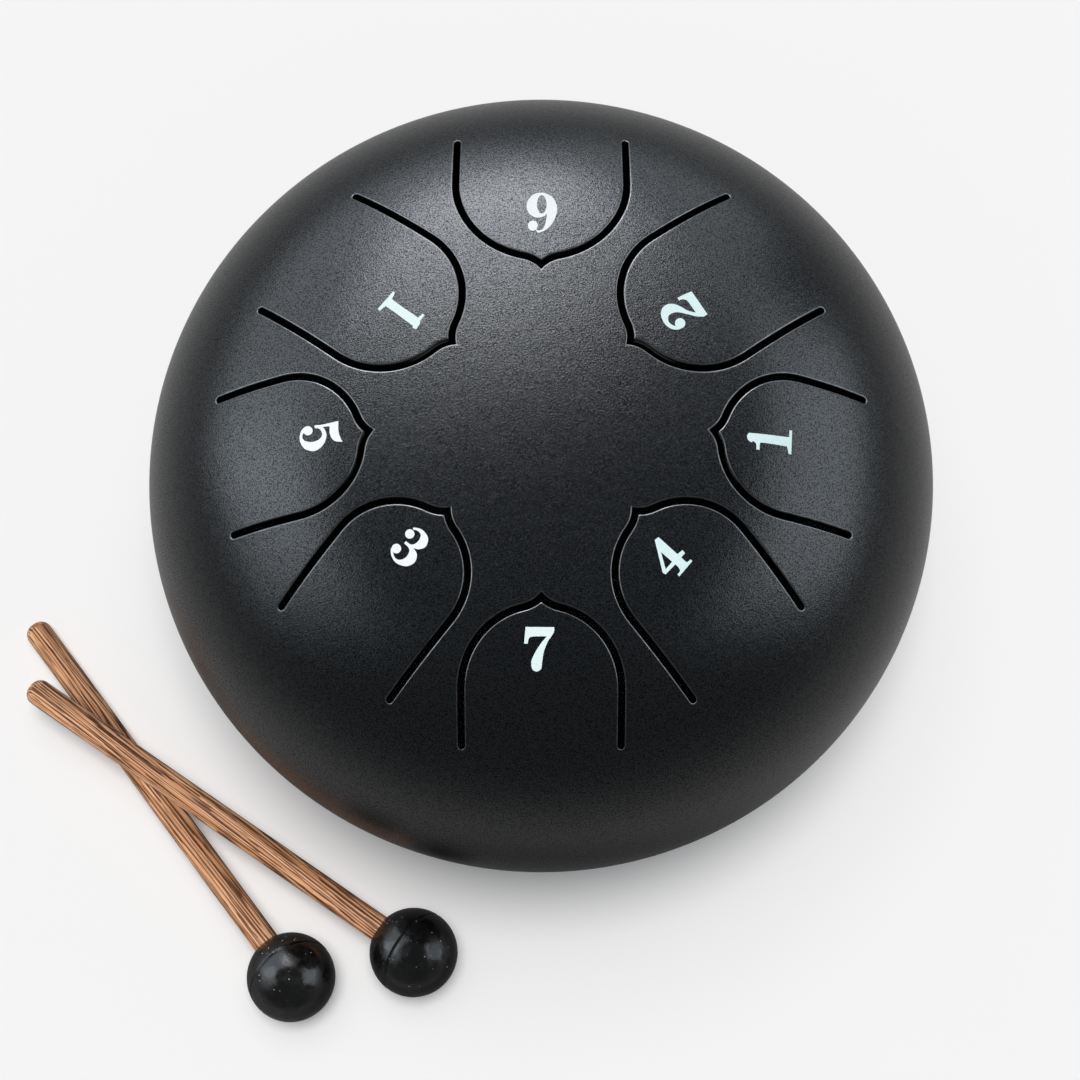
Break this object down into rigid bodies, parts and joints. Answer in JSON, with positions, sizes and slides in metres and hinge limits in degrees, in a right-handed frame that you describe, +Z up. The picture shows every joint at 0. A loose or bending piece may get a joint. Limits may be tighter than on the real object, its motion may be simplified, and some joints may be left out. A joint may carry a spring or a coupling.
{
  "type": "steel tongue drum",
  "caption": "Small steel tongue drum: a closed pressed shell with pointed tongues cut into its dome, on rubber feet round a sound hole, with crossed wooden mallets beside it.",
  "frame": {"origin": "on the table under the middle of the drum, where the drum's axis meets the plane of its feet", "axes": "+Z up along the drum's axis; +Y towards the back tongue, -Y towards the viewer; the mallets lie on the -X side"},
  "size_m": [0.1879, 0.1823, 0.092],
  "materials": {
    "shell_coat": "satin powder coat with a fine leather-like grain",
    "grommet_rubber": "matt",
    "foot_rubber": "matt",
    "plated_steel": "zinc plated",
    "stick_wood": "bare, sanded, with dark streaks along the grain",
    "ball_rubber": "moulded, slightly glossy"
  },
  "bodies": {
    "drum": {"upper_shell": "shell_coat", "lower_shell": "shell_coat", "sound_hole_grommet": "grommet_rubber", "foot_front": "foot_rubber", "foot_back_left": "foot_rubber", "foot_back_right": "foot_rubber", "foot_washers": "plated_steel", "foot_screws": "plated_steel", "foot_nuts": "plated_steel"},
    "lower_mallet": {"lower_mallet_stick": "stick_wood", "lower_mallet_ball": "ball_rubber"},
    "upper_mallet": {"upper_mallet_stick": "stick_wood", "upper_mallet_ball": "ball_rubber"}
  },
  "joints": [
    {"name": "lower_mallet_lift", "type": "slide", "parent": "drum", "child": "lower_mallet", "axis": [0, 0, 1], "range_m": [0, 0.12]},
    {"name": "upper_mallet_lift", "type": "slide", "parent": "lower_mallet", "child": "upper_mallet", "axis": [0, 0, 1], "range_m": [0, 0.12]}
  ]
}
